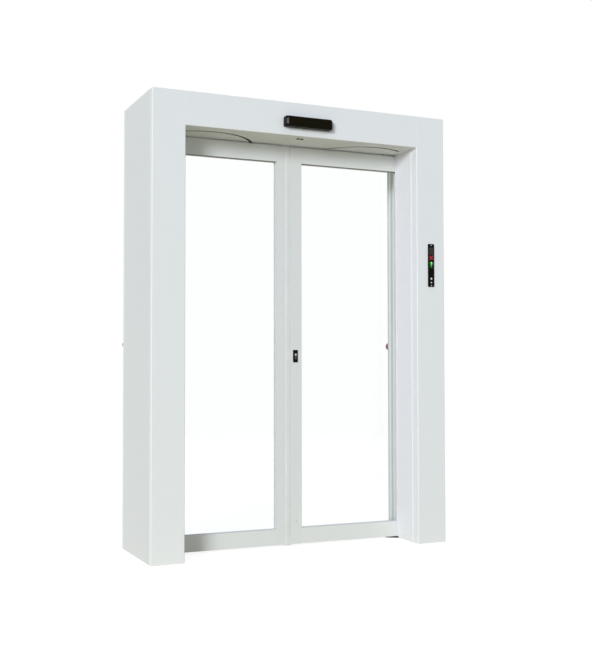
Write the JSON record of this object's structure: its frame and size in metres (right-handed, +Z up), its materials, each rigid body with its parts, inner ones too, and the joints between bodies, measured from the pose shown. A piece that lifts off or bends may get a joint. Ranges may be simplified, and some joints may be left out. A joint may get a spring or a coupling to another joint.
{
  "type": "security portal",
  "caption": "Free-standing security portal: folded-sheet posts and header round a passage closed by twin glazed leaves that swing on hidden shafts in the header.",
  "frame": {"origin": "middle of the footprint, at floor level", "axes": "+X across the passage to the right post, +Y from the front face to the rear, +Z up"},
  "size_m": [1.644, 0.62, 2.3],
  "materials": {
    "cladding": "smooth white-grey powder coat",
    "leaf_frame": "extrusion, powder coated light grey",
    "glass": "clear laminated safety glass",
    "gasket": "matt grey",
    "light_rubber": "matt light grey",
    "inner_steel": "galvanised",
    "bright_steel": "turned, bright",
    "black_steel": "satin black",
    "black_plastic": "smoked, glossy",
    "red_lens": "translucent lens",
    "green_lens": "lit lens",
    "red_plastic": "moulded, semi-gloss"
  },
  "bodies": {
    "frame": {"left_front_post": "cladding", "right_front_post": "cladding", "front_lintel": "cladding", "rear_lintel": "cladding", "left_side_panel": "cladding", "right_side_panel": "cladding", "left_reveal": "cladding", "right_reveal": "cladding", "left_rear_post": "cladding", "right_rear_post": "cladding", "top_cover": "cladding", "ceiling_panel": "cladding", "header_frame": "inner_steel", "post_frames": "inner_steel", "shaft_bearings": "inner_steel", "floor_guides": "black_steel", "front_sensor": "black_plastic", "rear_sensor": "black_plastic", "presence_sensor": "black_plastic", "signal_plate": "black_plastic", "red_lamp": "red_lens", "green_lamp": "green_lens", "release_buttons": "red_plastic"},
    "left_leaf": {"left_top_rail": "leaf_frame", "left_bottom_rail": "leaf_frame", "left_meeting_stile": "leaf_frame", "left_outer_stile": "leaf_frame", "left_glass": "glass", "left_gasket": "gasket", "left_closing_profile": "light_rubber", "left_hangers": "bright_steel", "left_carrier": "inner_steel"},
    "right_leaf": {"right_top_rail": "leaf_frame", "right_bottom_rail": "leaf_frame", "right_meeting_stile": "leaf_frame", "right_outer_stile": "leaf_frame", "right_glass": "glass", "right_gasket": "gasket", "right_closing_profile": "light_rubber", "right_hangers": "bright_steel", "right_carrier": "inner_steel", "lock_plates": "black_steel", "lock_cylinder": "bright_steel"}
  },
  "joints": [
    {"name": "left_leaf_turn", "type": "hinge", "parent": "frame", "child": "left_leaf", "pos_m": [-0.46771, 0.103, 0], "axis": [0, 0, -1], "range_deg": [0, 90]},
    {"name": "right_leaf_turn", "type": "hinge", "parent": "frame", "child": "right_leaf", "pos_m": [0.46771, 0.103, 0], "axis": [0, 0, 1], "range_deg": [0, 90]}
  ]
}
